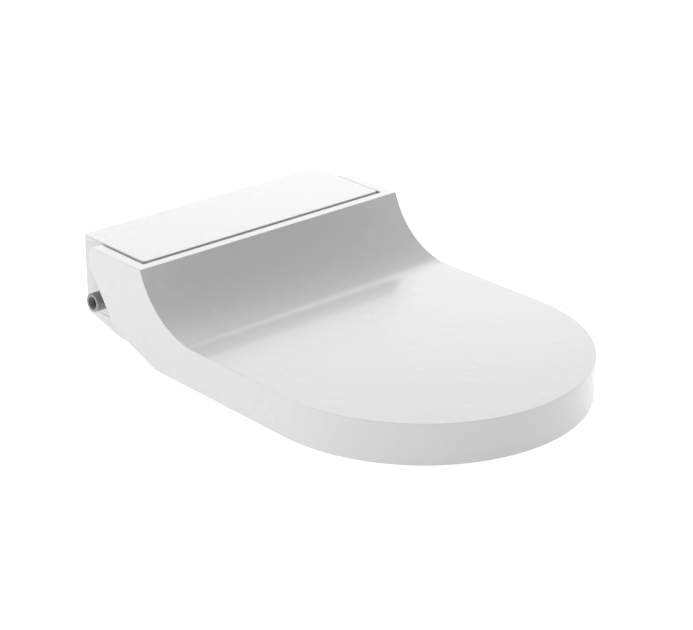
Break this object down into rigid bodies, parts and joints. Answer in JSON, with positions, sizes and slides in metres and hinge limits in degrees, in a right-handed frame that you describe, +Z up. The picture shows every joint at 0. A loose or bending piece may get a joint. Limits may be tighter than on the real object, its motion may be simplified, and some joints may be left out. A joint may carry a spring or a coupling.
{
  "type": "electric bidet seat",
  "caption": "Electric bidet seat: round-fronted lid swept up to a rear housing, heated seat ring, sliding spray arm, warm-air dryer, odour filter and slide-on mounting plate.",
  "frame": {"origin": "midway between the two fixing holes, on the plane where the mounting plate and the seat's feet rest", "axes": "+Z up; the front of the seat points along -Y; the water inlet is on the -X side and the mains socket on the +X side"},
  "size_m": [0.361, 0.534, 0.1116],
  "materials": {
    "white_shell": "polished white moulding",
    "white_panel": "satin white moulding",
    "grey_base": "pale grey moulding",
    "soft_rubber": "pale grey elastomer",
    "dark_rubber": "black elastomer",
    "dark_fitting": "dark grey glass-filled moulding",
    "pin_steel": "ground steel",
    "screw_steel": "zinc plated",
    "black_moulding": "black moulding",
    "nozzle_steel": "polished stainless",
    "heater_foil": "foil with a heating wire",
    "copper_coil": "enamelled copper winding",
    "brass_core": "turned brass",
    "tank_plastic": "natural heat-proof moulding",
    "motor_can": "zinc plated can",
    "gear_acetal": "natural acetal",
    "hose_silicone": "translucent silicone",
    "board_green": "solder mask",
    "filter_carbon": "carbon honeycomb",
    "lens_clear": "diffusing lens",
    "cable_sheath": "pale cable sheath"
  },
  "bodies": {
    "housing": {"base_tray": "grey_base", "upper_cover": "white_panel", "housing_gasket": "dark_rubber", "front_bezel": "white_panel", "housing_screws": "screw_steel", "hinge_bushes": "gear_acetal", "lid_damper": "black_moulding", "seat_damper": "black_moulding", "nozzle_motor": "motor_can", "nozzle_guide": "black_moulding", "water_inlet": "dark_fitting", "inlet_strainer": "nozzle_steel", "inlet_valve": "tank_plastic", "valve_coil": "copper_coil", "valve_spring": "pin_steel", "flow_sensor": "black_moulding", "water_heater": "tank_plastic", "water_pump": "motor_can", "vacuum_breaker": "tank_plastic", "water_hoses": "hose_silicone", "spray_hose": "hose_silicone", "dryer_duct": "black_moulding", "dryer_fan_housing": "black_moulding", "dryer_motor": "motor_can", "dryer_heater": "heater_foil", "odour_duct": "black_moulding", "odour_fan_housing": "black_moulding", "odour_motor": "motor_can", "control_board": "board_green", "board_screws": "screw_steel", "board_components": "black_moulding", "power_supply": "motor_can", "power_inlet": "black_moulding", "mains_lead": "cable_sheath", "key_board": "board_green", "orientation_light": "lens_clear"},
    "seat": {"seat_top": "white_shell", "seat_base": "white_panel", "seat_heater": "heater_foil", "seat_bumpers": "soft_rubber", "seat_hinge_pin": "pin_steel"},
    "lid": {"lid_shell": "white_shell", "lid_bumpers": "soft_rubber", "lid_hinge_pin": "pin_steel"},
    "plate": {"cover_plate": "white_shell", "plate_clips": "white_panel"},
    "mount": {"mounting_plate": "grey_base", "fixing_bushes": "dark_rubber"},
    "spray_arm": {"nozzle_head": "white_panel", "spray_tube": "nozzle_steel", "spray_rack": "gear_acetal"},
    "pinion": {"drive_pinion": "gear_acetal"},
    "plunger": {"valve_plunger": "brass_core"},
    "dryer_rotor": {"dryer_impeller": "gear_acetal"},
    "air_flap": {"dryer_flap": "white_panel"},
    "odour_rotor": {"odour_impeller": "gear_acetal"},
    "filter_drawer": {"odour_filter": "white_panel", "filter_honeycomb": "filter_carbon"},
    "power_key": {"power_button": "grey_base"},
    "arm_key": {"arm_button": "grey_base"}
  },
  "joints": [
    {"name": "seat_hinge", "type": "hinge", "parent": "housing", "child": "seat", "pos_m": [0, 0.035, 0.089], "axis": [-1, 0, 0], "range_deg": [0, 95]},
    {"name": "lid_hinge", "type": "hinge", "parent": "seat", "child": "lid", "pos_m": [0, 0.035, 0.089], "axis": [1, 0, 0], "range_deg": [-100, 0]},
    {"name": "plate_slide", "type": "slide", "parent": "housing", "child": "plate", "axis": [0, 1, 0], "range_m": [0, 0.012]},
    {"name": "mount_slide", "type": "slide", "parent": "housing", "child": "mount", "axis": [0, 1, 0], "range_m": [0, 0.14]},
    {"name": "spray_slide", "type": "slide", "parent": "housing", "child": "spray_arm", "axis": [0, -0.9659, -0.2588], "range_m": [0, 0.07]},
    {"name": "pinion_spin", "type": "hinge", "parent": "housing", "child": "pinion", "pos_m": [0.018, -0.00941, 0.04688], "axis": [0, -0.2588, 0.9659], "range_deg": [0, 574]},
    {"name": "plunger_lift", "type": "slide", "parent": "housing", "child": "plunger", "axis": [0, 0, 1], "range_m": [0, 0.002], "stiffness_N_per_m": 300, "springref_m": -0.003, "deforming": ["valve_spring"]},
    {"name": "dryer_spin", "type": "hinge", "parent": "housing", "child": "dryer_rotor", "pos_m": [0.072, 0.048, 0.04], "axis": [0, 0, 1], "continuous": true},
    {"name": "air_flap_hinge", "type": "hinge", "parent": "housing", "child": "air_flap", "pos_m": [0.06, -0.1047, 0.0276], "axis": [-1, 0, 0], "range_deg": [0, 75]},
    {"name": "odour_spin", "type": "hinge", "parent": "housing", "child": "odour_rotor", "pos_m": [0.133, 0.008, 0.055], "axis": [0, 0, 1], "continuous": true},
    {"name": "filter_slide", "type": "slide", "parent": "housing", "child": "filter_drawer", "axis": [1, 0, 0], "range_m": [0, 0.07]},
    {"name": "power_key_press", "type": "slide", "parent": "housing", "child": "power_key", "axis": [-1, 0, 0], "range_m": [0, 0.002], "stiffness_N_per_m": 400, "springref_m": -0.001},
    {"name": "arm_key_press", "type": "slide", "parent": "housing", "child": "arm_key", "axis": [-1, 0, 0], "range_m": [0, 0.002], "stiffness_N_per_m": 400, "springref_m": -0.001}
  ],
  "couplings": [
    {"joint": "pinion_spin", "follows": "spray_slide", "rad_per_m": 142.86}
  ]
}
